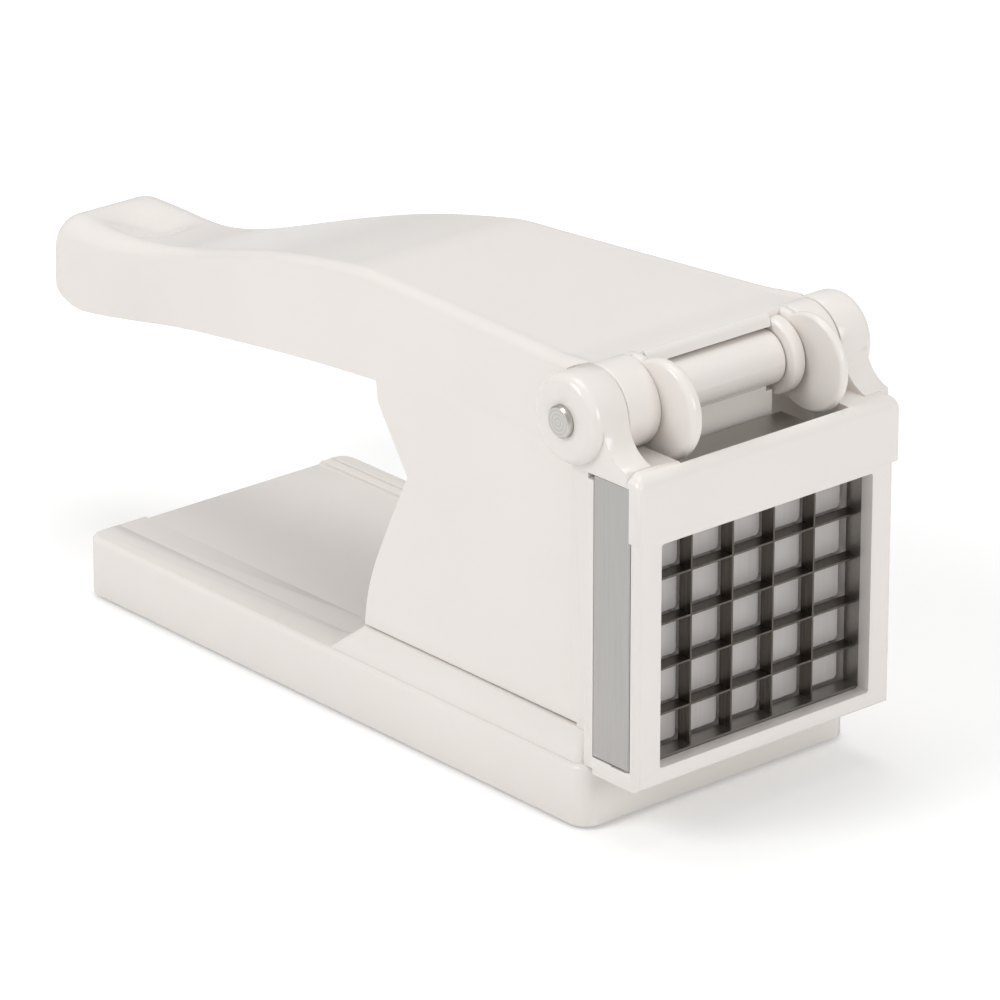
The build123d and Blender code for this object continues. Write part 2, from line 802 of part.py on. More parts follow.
# The crown line, from the front to the rim of the thumb rest, and the belly line back from the heel.
crown_points = [
    (hinge_x - crown_bend_reach, crown_front_z - crown_bend_drop),
    (hinge_x - arm_reach, crown_front_z - crown_arm_drop),
    (hinge_x - neck_reach, crown_front_z - crown_neck_drop),
    (handle_end_x + waist_from_end, crown_front_z - crown_waist_drop),
    (handle_end_x + dish_from_end, crown_front_z - dish_drop),
    (handle_end_x + rim_from_end, crown_front_z - rim_drop),
]
arm_belly_z = crown_points[1][1] - arm_depth
neck_belly_z = crown_points[2][1] - neck_depth
waist_belly_z = crown_points[3][1] - waist_depth
rim_z = crown_points[-1][1]
belly_points = [
    (handle_end_x + heel_from_end, rim_z - heel_depth),
    (handle_end_x + waist_from_end, waist_belly_z),
    (hinge_x - neck_reach, neck_belly_z),
    (hinge_x - arm_reach, arm_belly_z),
    (hinge_x - haunch_reach, crown_front_z - belly_haunch_drop),
    (hinge_x - wall_top_reach, crown_front_z - wall_top_drop),
]
wall_points = [
    (hinge_x - wall_upper_reach, height_at(wall_upper_height)),
    (hinge_x - wall_apex_reach, height_at(wall_apex_height)),
    (hinge_x - wall_middle_reach, height_at(wall_middle_height)),
    (hinge_x - wall_low_reach, height_at(wall_low_height)),
    (hinge_x - wall_foot_reach, wall_foot_z),
]
crown_front = (lever_front_x, crown_front_z)
end_points = [
    crown_points[-1],
    (handle_end_x, rim_z - end_middle_depth),
    (handle_end_x + end_low_from_end, rim_z - end_low_depth),
    belly_points[0],
]
side_reach = wall_foot_half_width + lever_wall

with BuildPart() as lever_hollow:
    lever_prism(lever_wall)
    # Only what lies a wall below the crown line, and in front of the thick heel, is hollow.
    with BuildSketch(Plane.XZ):
        with BuildLine():
            inner_crown = [(x, z - lever_wall) for x, z in crown_points]
            Line((lever_front_x + lever_wall, crown_front[1] - lever_wall), inner_crown[0])
            Spline(*inner_crown)
            heel_wall_x = belly_points[0][0] - cover_clearance
            Polyline(
                inner_crown[-1],
                (inner_crown[-1][0], rim_z - end_middle_depth),
                (heel_wall_x, belly_points[0][1] + lever_wall),
                (heel_wall_x, foot_drop),
                (lever_front_x + lever_wall, foot_drop),
                (lever_front_x + lever_wall, crown_front[1] - lever_wall),
            )
        make_face()
    extrude(amount=side_reach, both=True, mode=Mode.INTERSECT)

post_stations = [
    (hinge_x - arm_reach, arm_belly_z, crown_points[1][1]),
    (hinge_x - neck_reach, neck_belly_z, crown_points[2][1]),
    (handle_end_x + waist_from_end, waist_belly_z, crown_points[3][1]),
]


def belly_band(low, high):
    """Draws the strip between two copies of the belly line, raised by low and high."""
    with BuildLine() as strip:
        lower = Spline(*((x, z + low) for x, z in belly_points[:-1]))
        upper = Spline(*((x, z + high) for x, z in belly_points[:-1]))
        Line(lower @ 0, upper @ 0)
        Line(lower @ 1, upper @ 1)
    make_face(strip.edges())


with BuildPart() as cover_space:
    lever_prism(lever_wall)
    with BuildSketch(Plane.XZ):
        belly_band(cover_recess, cover_recess + cover_thickness)
    extrude(amount=side_reach, both=True, mode=Mode.INTERSECT)

with BuildPart() as lever_shell:
    lever_prism(0)
    with BuildSketch(Plane.XZ):
        with BuildLine():
            Line(crown_front, crown_points[0])
            Spline(*crown_points)
            Spline(*end_points)
            Spline(*belly_points)
            Polyline(belly_points[-1], wall_points[0], wall_points[1])
            Spline(*wall_points[1:])
            Polyline(wall_points[-1], (lever_front_x, wall_foot_z), crown_front)
        make_face()
    extrude(amount=side_reach, both=True, mode=Mode.INTERSECT)
    crown_faces = lever_shell.faces().filter_by(lambda face: face.normal_at().Z > math.sqrt(0.5))
    crown_edges = crown_faces.edges().filter_by(lambda edge: end_corner_radius / 2 < abs(edge.center().Y))
    fillet(crown_edges, lever_edge_radius)
    add(lever_hollow.part, mode=Mode.SUBTRACT)
    for x, low_z, high_z in post_stations:
        post_start_z = low_z + cover_recess + cover_thickness / 2
        upright(cover_post_radius, (x, 0), (post_start_z, high_z - lever_wall / 2))
    add(cover_space.part, mode=Mode.SUBTRACT)
    for x, low_z, high_z in post_stations:
        post_foot_z = low_z + cover_recess + cover_thickness
        upright(
            bite_radius,
            (x, 0),
            (post_foot_z - lever_wall, post_foot_z + screw_bite),
            mode=Mode.SUBTRACT,
        )
    # The hinge barrels, the lobes in front of them and the collars beside the pusher.
    for side in (-1, 1):
        barrel_faces = sorted((side * barrel_inner, side * barrel_outer))
        lobe_faces = sorted((side * lobe_inner, side * barrel_inner))
        collar_faces = sorted((side * collar_inner, side * lobe_inner))
        wall_faces = sorted((side * barrel_outer, side * side_reach))
        cross_bar(swing_radius, wall_faces, mode=Mode.SUBTRACT)
        cross_bar(boss_radius, barrel_faces)
        cross_bar(boss_radius, lobe_faces)
        cross_bar(lobe_radius, lobe_faces, x=hinge_x + lobe_reach)
        cross_bar(collar_radius, collar_faces)
    # The pusher's barrel turns in an open recess of the top wall.
    block(
        (hinge_x - recess_setback, hinge_x + lobe_reach + lobe_radius),
        (-collar_inner, collar_inner),
        (hinge_z - lobe_radius, lever_crown_z + boss_radius),
        mode=Mode.SUBTRACT,
    )
    for side in (-1, 1):
        upright(
            lever_boss_radius,
            (hinge_x - arm_screw_reach, side * pusher_arm_side),
            (arm_top_z, crown_front[1] - lever_wall),
        )
        upright(
            bite_radius,
            (hinge_x - arm_screw_reach, side * pusher_arm_side),
            (arm_top_z, arm_top_z + screw_bite),
            mode=Mode.SUBTRACT,
        )
    cross_bar(pin_radius + running_clearance, (-pin_side, pin_side), mode=Mode.SUBTRACT)
write(lever_shell, "lever_shell")

with BuildPart() as handle_underside_cover:
    lever_prism(lever_wall + cover_clearance)
    with BuildSketch(Plane.XZ):
        belly_band(cover_recess, cover_recess + cover_thickness)
    extrude(amount=side_reach, both=True, mode=Mode.INTERSECT)
    for x, low_z, high_z in post_stations:
        seat_z = low_z + cover_recess + cover_seat_depth
        upright(through_radius, (x, 0), (seat_z, seat_z + cover_thickness), mode=Mode.SUBTRACT)
        upright(
            screw_head_radius + screw_clearance,
            (x, 0),
            (seat_z - cover_thickness, seat_z),
            mode=Mode.SUBTRACT,
        )
write(handle_underside_cover, "handle_underside_cover")

with BuildPart() as handle_cover_screws:
    for x, low_z, high_z in post_stations:
        seat_z = low_z + cover_recess + cover_seat_depth
        screw(Plane(origin=(x, 0, seat_z)), cover_thickness - cover_seat_depth, screw_bite)
write(handle_cover_screws, "handle_cover_screws")

# Pusher

carrier_span = (hanger_rear_x, hanger_front_x)
pusher_span = (-pusher_half_width, pusher_half_width)
arm_screw_points = [
    (hinge_x - arm_screw_reach, side * pusher_arm_side) for side in (-1, 1)
]
pusher_middle_z = (pusher_bottom_z + pusher_top_z) / 2
tooth_screw_points = [
    (side * tooth_screw_side, pusher_middle_z + level * tooth_screw_drop)
    for side in (-1, 1)
    for level in (-1, 1)
]
step_z = height_at(hanger_step_height)

with BuildPart() as pusher_block:
    cross_bar(barrel_radius, (-pusher_barrel_side, pusher_barrel_side))
    block(carrier_span, (-hanger_half_width, hanger_half_width), (step_z, hinge_z))
    block(carrier_span, (-carrier_half_width, carrier_half_width), (pusher_top_z, step_z))
    block(carrier_span, pusher_span, (pusher_bottom_z, pusher_top_z))
    # The lower carrier is hollow at the back, with two upright ribs.
    block(
        (hanger_rear_x, hanger_front_x - pusher_front_wall),
        (-pusher_half_width + pusher_rim, pusher_half_width - pusher_rim),
        (pusher_bottom_z + pusher_rim, pusher_top_z - pusher_rim),
        mode=Mode.SUBTRACT,
    )
    for side in (-1, 1):
        rib_side = side * pusher_rib_pitch / 2
        block(
            carrier_span,
            (rib_side - pusher_rim / 2, rib_side + pusher_rim / 2),
            (pusher_bottom_z, pusher_top_z),
        )
        arm_side = side * pusher_arm_side
        block(
            (hinge_x - pusher_arm_reach, hanger_rear_x),
            (arm_side - pusher_arm_width / 2, arm_side + pusher_arm_width / 2),
            (arm_bottom_z, arm_top_z),
        )
    for side, height in tooth_screw_points:
        with BuildSketch(Plane.YZ.offset(hanger_rear_x)):
            with Locations((side, height)):
                Circle(screw_boss_radius)
        extrude(amount=hanger_thickness)
        with BuildSketch(Plane.YZ.offset(hanger_rear_x)):
            with Locations((side, height)):
                Circle(through_radius)
        extrude(amount=hanger_thickness, mode=Mode.SUBTRACT)
    for point in arm_screw_points:
        upright(through_radius, point, (arm_bottom_z, arm_top_z), mode=Mode.SUBTRACT)
    cross_bar(pin_radius + running_clearance, (-pin_side, pin_side), mode=Mode.SUBTRACT)
write(pusher_block, "pusher_block")

row_edges = [bar_top_z, *row_heights, top_bar_z]
column_edges = [(index - cell_count / 2) * cell_width for index in range(cell_count + 1)]
with BuildPart() as pusher_tooth_plate:
    block((hanger_front_x, tooth_root_x), pusher_span, (pusher_bottom_z, pusher_top_z))
    with BuildSketch(Plane.YZ.offset(tooth_root_x)):
        for left, right in zip(column_edges, column_edges[1:]):
            for low, high in zip(row_edges, row_edges[1:]):
                with Locations(((left + right) / 2, (low + high) / 2)):
                    RectangleRounded(
                        right - left - blade_thickness - 2 * tooth_side_gap,
                        high - low - blade_thickness - 2 * tooth_side_gap,
                        tooth_corner_radius,
                    )
    extrude(amount=tooth_length)
    for side, height in tooth_screw_points:
        with BuildSketch(Plane.YZ.offset(hanger_front_x)):
            with Locations((side, height)):
                Circle(bite_radius)
        extrude(amount=screw_bite, mode=Mode.SUBTRACT)
write(pusher_tooth_plate, "pusher_tooth_plate")

with BuildPart() as tooth_plate_screws:
    for side, height in tooth_screw_points:
        seat = Plane(origin=(hanger_rear_x, side, height), x_dir=(0, 1, 0), z_dir=(1, 0, 0))
        screw(seat, hanger_thickness, screw_bite - screw_end_gap)
write(tooth_plate_screws, "tooth_plate_screws")

with BuildPart() as pusher_arm_screws:
    for point in arm_screw_points:
        screw(Plane(origin=(*point, arm_bottom_z)), arm_top_z - arm_bottom_z, screw_bite - screw_end_gap)
write(pusher_arm_screws, "pusher_arm_screws")
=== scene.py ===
import bmesh
import bpy
import json
import math
import numpy as np
from mathutils import Matrix


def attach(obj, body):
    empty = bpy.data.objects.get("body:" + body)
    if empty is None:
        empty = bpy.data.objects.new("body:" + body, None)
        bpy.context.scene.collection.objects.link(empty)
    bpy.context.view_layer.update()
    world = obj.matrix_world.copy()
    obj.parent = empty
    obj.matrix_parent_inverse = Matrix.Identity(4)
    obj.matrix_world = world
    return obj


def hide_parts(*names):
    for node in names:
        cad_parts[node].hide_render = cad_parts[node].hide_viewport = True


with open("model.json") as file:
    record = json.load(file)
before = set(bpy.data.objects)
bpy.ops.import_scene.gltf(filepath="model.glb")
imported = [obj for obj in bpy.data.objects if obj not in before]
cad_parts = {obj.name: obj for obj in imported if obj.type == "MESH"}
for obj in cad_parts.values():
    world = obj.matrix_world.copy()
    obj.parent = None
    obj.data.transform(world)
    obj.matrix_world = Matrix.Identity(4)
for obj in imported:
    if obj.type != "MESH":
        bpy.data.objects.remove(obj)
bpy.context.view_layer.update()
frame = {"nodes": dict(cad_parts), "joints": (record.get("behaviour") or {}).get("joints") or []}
mm = 0.001

# the hinge's axis runs along Y through this point, in metres
hinge = next(joint for joint in frame["joints"] if joint["name"] == "lever_hinge")["pos_m"]
hingeX, hingeZ = hinge[0], hinge[2]
print("frame loaded, hinge at", hingeX, hingeZ)


def addObject(name, data):
    made = bpy.data.objects.new(name, data)
    bpy.context.scene.collection.objects.link(made)
    return made


def pose(axes, centre):
    # a matrix from three axes as columns and a centre
    return Matrix([[*axes[i], centre[i]] for i in range(3)] + [[0, 0, 0, 1]])


# camera: a long lens from the near left corner of the grid end, turned down onto the machine
camera = {
    "azimuth": 49.26, "elevation": 22.18, "roll": -0.07, "distance": 1.5653,
    "target": (0.0896, 0.0, 0.067), "targetPixel": (653.9, 499.6),
    "focalPixels": 6500.0, "imagePixels": 1000.0, "sensor": 36.0, "clip": (0.05, 50.0),
}


def placeCamera(c):
    a, e, r = (math.radians(c[k]) for k in ("azimuth", "elevation", "roll"))
    back = np.array([math.sin(a) * math.cos(e), -math.cos(a) * math.cos(e), math.sin(e)])
    right = np.array([math.cos(a), math.sin(a), 0.0])
    up = np.cross(back, right)
    rolledRight = math.cos(r) * right + math.sin(r) * up
    rolledUp = -math.sin(r) * right + math.cos(r) * up
    middle = c["imagePixels"] / 2
    across = (c["targetPixel"][0] - middle) / c["focalPixels"] * c["distance"]
    upward = -(c["targetPixel"][1] - middle) / c["focalPixels"] * c["distance"]
    centre = np.array(c["target"]) - (rolledRight * across + rolledUp * upward - back * c["distance"])
    data = bpy.data.cameras.new("camera")
    data.sensor_width = c["sensor"]
    data.lens = c["focalPixels"] / c["imagePixels"] * c["sensor"]
    data.clip_start, data.clip_end = c["clip"]
    eye = addObject("camera", data)
    eye.matrix_world = pose(np.column_stack([rolledRight, rolledUp, back]), centre)
    bpy.context.scene.camera = eye
    return right, back


viewRight, viewBack = placeCamera(camera)
bpy.context.scene.view_settings.view_transform = "Standard"


# materials: sizes of grain, streaks and rings are in millimetres

def linear(hexColour):
    # sRGB hex to linear: the straight foot below 0.04045, the 2.4 power curve above
    parts = [int(hexColour[i:i + 2], 16) / 255 for i in (1, 3, 5)]
    return (*[p / 12.92 if p <= 0.04045 else ((p + 0.055) / 1.055) ** 2.4 for p in parts], 1.0)


def addNode(tree, kind, settings=None, links=None):
    # one node, its settings by attribute or input name, its inputs linked from other nodes' outputs
    node = tree.nodes.new(kind)
    for key, value in (settings or {}).items():
        if key in node.inputs:
            node.inputs[key].default_value = value
        else:
            setattr(node, key, value)
    for key, source in (links or {}).items():
        tree.links.new(source, node.inputs[key])
    return node


def newMaterial(name):
    made = bpy.data.materials.new(name)
    made.use_nodes = True
    made.node_tree.nodes.clear()
    tree = made.node_tree
    output = addNode(tree, "ShaderNodeOutputMaterial")
    shader = addNode(tree, "ShaderNodeBsdfPrincipled")
    tree.links.new(shader.outputs["BSDF"], output.inputs["Surface"])
    return made, tree, shader


def objectPlace(tree):
    return addNode(tree, "ShaderNodeTexCoord").outputs["Object"]


def grainNoise(tree, size, detail):
    # even noise in object coordinates
    settings = {"Scale": 1 / (size * mm), "Detail": detail}
    return addNode(tree, "ShaderNodeTexNoise", settings, {"Vector": objectPlace(tree)}).outputs["Fac"]


def tintBy(tree, shader, factor, first, second):
    # base colour from the first to the second as the factor goes from 0 to 1
    mix = addNode(tree, "ShaderNodeMix", {"data_type": "RGBA"})
    factorSocket, firstSocket, secondSocket = mix.inputs[0], mix.inputs[6], mix.inputs[7]
    firstSocket.default_value, secondSocket.default_value = linear(first), linear(second)
    tree.links.new(factor, factorSocket)
    colourSocket = mix.outputs[2]
    tree.links.new(colourSocket, shader.inputs["Base Color"])


def bumpBy(tree, shader, height, strength, depth):
    settings = {"Strength": strength, "Distance": depth * mm}
    bump = addNode(tree, "ShaderNodeBump", settings, {"Height": height})
    tree.links.new(bump.outputs["Normal"], shader.inputs["Normal"])


# moulded ABS: warm off-white, glossy, with the faint ripple of a polished mould
mould = {
    "cloudSize": 45, "cloudDetail": 2.0, "grainSize": 7, "grainDetail": 3.0, "grainDepth": 0.05,
    "refraction": 1.53, "bleed": 0.08, "bleedReach": 1.5, "bleedTint": (1.0, 0.8, 0.6),
}


def mouldedAbs(name, colour, paler, roughness, ripple):
    made, tree, shader = newMaterial(name)
    tintBy(tree, shader, grainNoise(tree, mould["cloudSize"], mould["cloudDetail"]), colour, paler)
    grain = grainNoise(tree, mould["grainSize"], mould["grainDetail"])
    bumpBy(tree, shader, grain, ripple, mould["grainDepth"])
    shader.inputs["Roughness"].default_value = roughness
    shader.inputs["IOR"].default_value = mould["refraction"]
    # light bleeds a little at thin edges
    shader.inputs["Subsurface Weight"].default_value = mould["bleed"]
    shader.inputs["Subsurface Scale"].default_value = mould["bleedReach"] * mm
    shader.inputs["Subsurface Radius"].default_value = mould["bleedTint"]
    return made


# a streaked surface, brushed steel or drawn plastic: fine lines in roughness, tone and height,
# as long and as wide as streakSize says along X, Y and Z
streaks = {"detail": 4.0, "coarseness": 0.7, "roughnessSpread": 0.08, "strength": 0.15, "depth": 0.02}


def streaked(name, colour, darker, roughness, streakSize, metal=1.0):
    made, tree, shader = newMaterial(name)
    scale = tuple(1 / (size * mm) for size in streakSize)
    stretched = addNode(tree, "ShaderNodeMapping", {"Scale": scale}, {"Vector": objectPlace(tree)})
    noise = {"Scale": 1.0, "Detail": streaks["detail"], "Roughness": streaks["coarseness"]}
    noiseNode = addNode(tree, "ShaderNodeTexNoise", noise, {"Vector": stretched.outputs["Vector"]})
    lines = noiseNode.outputs["Fac"]
    tintBy(tree, shader, lines, darker, colour)
    spread = streaks["roughnessSpread"]
    limits = {"To Min": roughness - spread, "To Max": roughness + spread}
    rough = addNode(tree, "ShaderNodeMapRange", limits, {"Value": lines})
    tree.links.new(rough.outputs["Result"], shader.inputs["Roughness"])
    bumpBy(tree, shader, lines, streaks["strength"], streaks["depth"])
    shader.inputs["Metallic"].default_value = metal
    return made


# turned steel: tool rings round the pin's axis
turning = {
    "ringSize": 0.5, "distortion": 0.4, "detail": 1.0, "strength": 0.12, "depth": 0.02, "roughness": 0.28,
}


def turnedSteel(name, colour, darker):
    made, tree, shader = newMaterial(name)
    toAxis = {"Location": (-hingeX, 0.0, -hingeZ)}
    centred = addNode(tree, "ShaderNodeMapping", toAxis, {"Vector": objectPlace(tree)})
    wave = {
        "wave_type": "RINGS", "rings_direction": "Y",
        "Scale": 1 / (turning["ringSize"] * mm) / (2 * math.pi),
        "Distortion": turning["distortion"], "Detail": turning["detail"],
    }
    rings = addNode(tree, "ShaderNodeTexWave", wave, {"Vector": centred.outputs["Vector"]}).outputs["Fac"]
    tintBy(tree, shader, rings, darker, colour)
    bumpBy(tree, shader, rings, turning["strength"], turning["depth"])
    shader.inputs["Metallic"].default_value = 1.0
    shader.inputs["Roughness"].default_value = turning["roughness"]
    return made


# black moulded rubber: dull, finely grained
rubber = {
    "colours": ("#17171a", "#232326"), "grainSize": 0.8, "grainDetail": 4.0,
    "strength": 0.4, "depth": 0.05, "roughness": 0.75,
}


def mouldedRubber(name):
    made, tree, shader = newMaterial(name)
    grain = grainNoise(tree, rubber["grainSize"], rubber["grainDetail"])
    tintBy(tree, shader, grain, *rubber["colours"])
    bumpBy(tree, shader, grain, rubber["strength"], rubber["depth"])
    shader.inputs["Roughness"].default_value = rubber["roughness"]
    return made


# glossy housing, and the duller plate that closes it from below
whiteAbs = mouldedAbs("mouldedWhiteAbs", "#ece6e1", "#f0ebe6", 0.17, 0.06)
innerAbs = mouldedAbs("mouldedInnerAbs", "#dedad4", "#e3dfda", 0.5, 0.25)
# stainless sheet brushed upright, blades ground with streaks and painted much darker for the shade and
# dark reflections in the grid's cells, and the ring brushed across
sheetSteel = streaked("brushedStainlessSheet", "#c8c6c4", "#b0aeab", 0.32, (0.6, 0.6, 30))
bladeSteelPaintedShade = streaked("groundStainlessBladePaintedShade", "#857f77", "#423d37", 0.30, (0.7, 0.7, 20))
flangeSteel = streaked("brushedStainlessFlange", "#b5b2ae", "#9a9793", 0.36, (0.6, 30, 0.6))
# moulded ABS with upright draw marks, satin; its grey, a shade darker than the housing, is painted shade
# for the teeth that sit in shade behind the grid
toothAbsPaintedShade = streaked("drawnAbsPaintedShade", "#d2cecb", "#c2bebb", 0.38, (1.0, 1.0, 25), 0.0)
# bright turned pin, and zinc-plated screws with an even fine grain
pinSteel = turnedSteel("turnedStainlessPin", "#d8d5d0", "#c9c5bf")
screwSteel = streaked("zincPlatedSteel", "#c2c2c2", "#a6a6a6", 0.35, (0.5, 0.5, 0.5))
footRubber = mouldedRubber("mouldedBlackRubber")
print("materials ready")


def dress(node, material):
    mesh = frame["nodes"][node].data
    for index in range(len(mesh.materials)):
        mesh.materials[index] = material
    if not len(mesh.materials):
        mesh.materials.append(material)


# shapes: surfaces computed as whole arrays, and CAD meshes merged and softened

def naturalCubic(points, x):
    # natural cubic through (x, z) points: the bends at the points solve one band of linear equations,
    # so that slope and bend run on through each point and the bend is nil at both ends
    px, pz = np.array(points, float).T
    gap, rise = np.diff(px), np.diff(pz)
    n = len(px)
    band, right = np.eye(n), np.zeros(n)
    for i in range(1, n - 1):
        band[i, i - 1:i + 2] = gap[i - 1], 2 * (gap[i - 1] + gap[i]), gap[i]
        right[i] = 6 * (rise[i] / gap[i] - rise[i - 1] / gap[i - 1])
    bend = np.linalg.solve(band, right)
    i = np.clip(np.searchsorted(px, x) - 1, 0, n - 2)
    a, b = (px[i + 1] - x) / gap[i], (x - px[i]) / gap[i]
    curve = ((a ** 3 - a) * bend[i] + (b ** 3 - b) * bend[i + 1]) * gap[i] ** 2 / 6
    return a * pz[i] + b * pz[i + 1] + curve


def gridFaces(rows, columns, start=0, flip=False):
    # quads between neighbouring rows and columns of a grid, numbered from start
    r, c = np.meshgrid(np.arange(rows - 1), np.arange(columns - 1), indexing="ij")
    first = start + r * columns + c
    quads = np.stack([first, first + 1, first + columns + 1, first + columns], -1).reshape(-1, 4)
    return quads[:, ::-1] if flip else quads


def buildMesh(name, grids, material, weld):
    # grids are (points[rows, columns, 3] in millimetres, flip); points nearer than weld become one
    points, faces, start = [], [], 0
    for grid, flip in grids:
        rows, columns = grid.shape[:2]
        points.append(grid.reshape(-1, 3))
        faces.append(gridFaces(rows, columns, start, flip))
        start += rows * columns
    mesh = bpy.data.meshes.new(name)
    mesh.from_pydata((np.concatenate(points) * mm).tolist(), [], np.concatenate(faces).tolist())
    work = bmesh.new()
    work.from_mesh(mesh)
    bmesh.ops.remove_doubles(work, verts=work.verts, dist=weld * mm)
    bmesh.ops.dissolve_degenerate(work, edges=work.edges, dist=weld * mm / 2)
    work.to_mesh(mesh)
    work.free()
    mesh.polygons.foreach_set("use_smooth", np.ones(len(mesh.polygons), bool))
    mesh.materials.append(material)
    return addObject(name, mesh)


def soften(piece, width, angle, segments):
    # a bevel of this width in millimetres on edges sharper than the angle in degrees
    bevel = piece.modifiers.new("softEdges", "BEVEL")
    bevel.width, bevel.segments, bevel.angle_limit = width * mm, segments, math.radians(angle)
    bevel.limit_method, bevel.harden_normals, bevel.miter_outer = "ANGLE", True, "MITER_ARC"


def boredDisc(centre, reach, bore, low, high, edge, steps=6):
    # a ring about an axis along Y through centre = (x, z), from y = low to y = high: reach is its outer
    # radius for each turn, its two rims are quarter circles of radius edge, and its bore closes it inside
    turn = np.linspace(0, 2 * math.pi, len(reach))
    rim = np.linspace(0, math.pi / 2, steps + 1)
    inset = edge * np.concatenate([1 - np.sin(rim), 1 - np.cos(rim)])[:, None]
    side = np.concatenate([low + edge * (1 - np.cos(rim)), high - edge * (1 - np.sin(rim))])
    inside = 0 * reach[None] + bore
    radius = np.concatenate([inside, reach - inset, np.repeat(inside, 2, 0)])
    side = np.concatenate([[low], side, [high, low]])[:, None] + 0 * radius
    x, z = centre[0] + radius * np.cos(turn), centre[1] + radius * np.sin(turn)
    return np.stack([x, side, z], -1)


# the lever: a cross-section swept along X, in millimetres of the part's own frame
lever = {
    "node": "lever_shell", "wall": 2.5, "footZ": 24.7, "topZ": 115.0,
    "frontX": 105.8, "backX": 23.2, "backZ": 86.3,
    # half widths (x, at the crown, at the foot), and both at the front edge
    "plan": [(-122.8, 15.4, 19.4), (-110.8, 15.4, 19.4), (-84.0, 11.9, 15.9), (-53.4, 16.4, 21.4),
             (-20.4, 23.6, 31.6), (3.0, 26.8, 36.6), (23.6, 28.5, 38.3)],
    "frontPlan": (37.1, 38.3),
    # the crown's line in (x, z), its height at the front, and a swell (from x, by this much)
    "crown": [(-122.0, 85.2), (-105.8, 84.7), (-84.0, 86.8), (-53.4, 95.6), (-20.4, 105.2), (11.3, 111.5)],
    "frontCrown": 114.6, "frontRise": (92.0, 0.7), "softRun": 9,
    # the belly in (x, z), and the walls' back edge in (z, x) above and below its apex
    "belly": [(-114.0, 62.4), (-84.0, 66.0), (-53.4, 72.4), (-20.4, 80.0), (3.0, 84.0), (23.2, 86.3)],
    "wallTop": [(66.3, 38.4), (81.3, 24.6), (86.3, 23.2)],
    "wallBack": [(24.7, 26.2), (32.2, 26.4), (49.3, 31.3), (66.3, 38.4)],
    # the handle's end, and the round edge between side and crown: at most a share of the section's height
    "endX": -130.8, "endZ": 75.0, "endCorner": 8.0, "edge": 3.0, "endEdge": 7.0, "edgeLimit": 0.45,
    # the thumb dish: x, half run, depth
    "dish": (-108.0, 10.0, 2.6),
    # round notches beside the hinge bosses, the crown's reach between them, and the lip in (x, z)
    "notch": 11.6, "notchSide": 34.0, "crownX": 107.2, "lipSide": 19.7,
    "lip": [(107.2, 115.3), (107.8, 114.9), (108.3, 114.1), (108.6, 113.1), (108.7, 112.2)],
    # hinge discs: radii, for the lobe its centre's distance ahead of the hinge and its radius,
    # then each disc as (kind, low y, high y, rim)
    "barrel": 11.2, "collar": 9.8, "lobe": (9.8, 12.4), "bore": 4.08, "turns": 121,
    "discs": [("barrel", -34.0, -23.9, 0.5), ("lobe", -24.0, -20.3, 1.6), ("collar", 19.8, 23.8, 0.9),
              ("lobe", 23.7, 26.3, 1.2), ("barrel", 26.2, 34.0, 0.5)],
    # how many points each run of the surface has, and where they lie over the crown's half width
    "points": {"end": 17, "handle": 110, "body": 60, "side": 27, "corner": 9, "across": 9,
               "wallLow": 26, "wallHigh": 13},
    "crownShares": (0.98, 0.93, 0.87, 0.8, 0.72, 0.63, 0.54, 0.44, 0.33, 0.22, 0.11, 0.0),
    "softEdge": {"width": 0.6, "angle": 50, "segments": 2}, "skinWeld": 0.02, "hubWeld": 0.002,
}


def leverCrown(p, x):
    # straight from the front to the shoulder, then a natural cubic to the rim, then a quarter ellipse down
    # to the end's middle; the joints are eased by a running mean, and the front swells up to the barrels
    fine = np.arange(p["endX"], p["frontX"] + 1, 1.0)
    shoulderX, shoulderZ = p["crown"][-1]
    straight = shoulderZ + (fine - shoulderX) / (p["frontX"] - shoulderX) * (p["frontCrown"] - shoulderZ)
    line = np.where(fine > shoulderX, straight, naturalCubic(p["crown"], np.minimum(fine, shoulderX)))
    padded = np.pad(line, p["softRun"] // 2, mode="reflect", reflect_type="odd")
    line = np.convolve(padded, np.ones(p["softRun"]) / p["softRun"], mode="valid")
    riseX, rise = p["frontRise"]
    toFront = np.clip((fine - riseX) / (p["frontX"] - riseX), 0, 1)
    line = line + rise * toFront ** 2 * (3 - 2 * toFront)
    rimX = p["crown"][0][0]
    rimZ = np.interp(rimX, fine, line)
    share = np.clip((rimX - x) / (rimX - p["endX"]), 0, 1)
    oval = p["endZ"] + (rimZ - p["endZ"]) * np.sqrt(1 - share ** 2)
    return np.where(x < rimX, oval, np.interp(x, fine, line))


def leverBelly(p, x):
    # natural cubic along the belly, closed behind the heel by a quarter ellipse
    heelX, heelZ = p["belly"][0]
    share = np.clip((heelX - x) / (heelX - p["endX"]), 0, 1)
    oval = p["endZ"] - (p["endZ"] - heelZ) * np.sqrt(1 - share ** 2)
    return np.where(x < heelX, oval, np.where(x > p["backX"], p["backZ"], naturalCubic(p["belly"], x)))


def leverWidth(p, x, z):
    # half width: plan lines at crown and foot ruled together by height, with round corners at the end
    stations = np.array(p["plan"])
    firstX, lastX = stations[0, 0], stations[-1, 0]
    inside = np.clip(x, firstX, lastX)
    forward = np.clip((x - lastX) / (p["frontX"] - lastX), 0, 1)
    top = naturalCubic(stations[:, :2], inside) + forward * (p["frontPlan"][0] - stations[-1, 1])
    foot = naturalCubic(stations[:, ::2], inside) + forward * (p["frontPlan"][1] - stations[-1, 2])
    half = top + (foot - top) * (p["topZ"] - z) / (p["topZ"] - p["footZ"])
    past = np.clip(firstX - x, 0, p["endCorner"])
    return half - p["endCorner"] + np.sqrt(p["endCorner"] ** 2 - past ** 2)


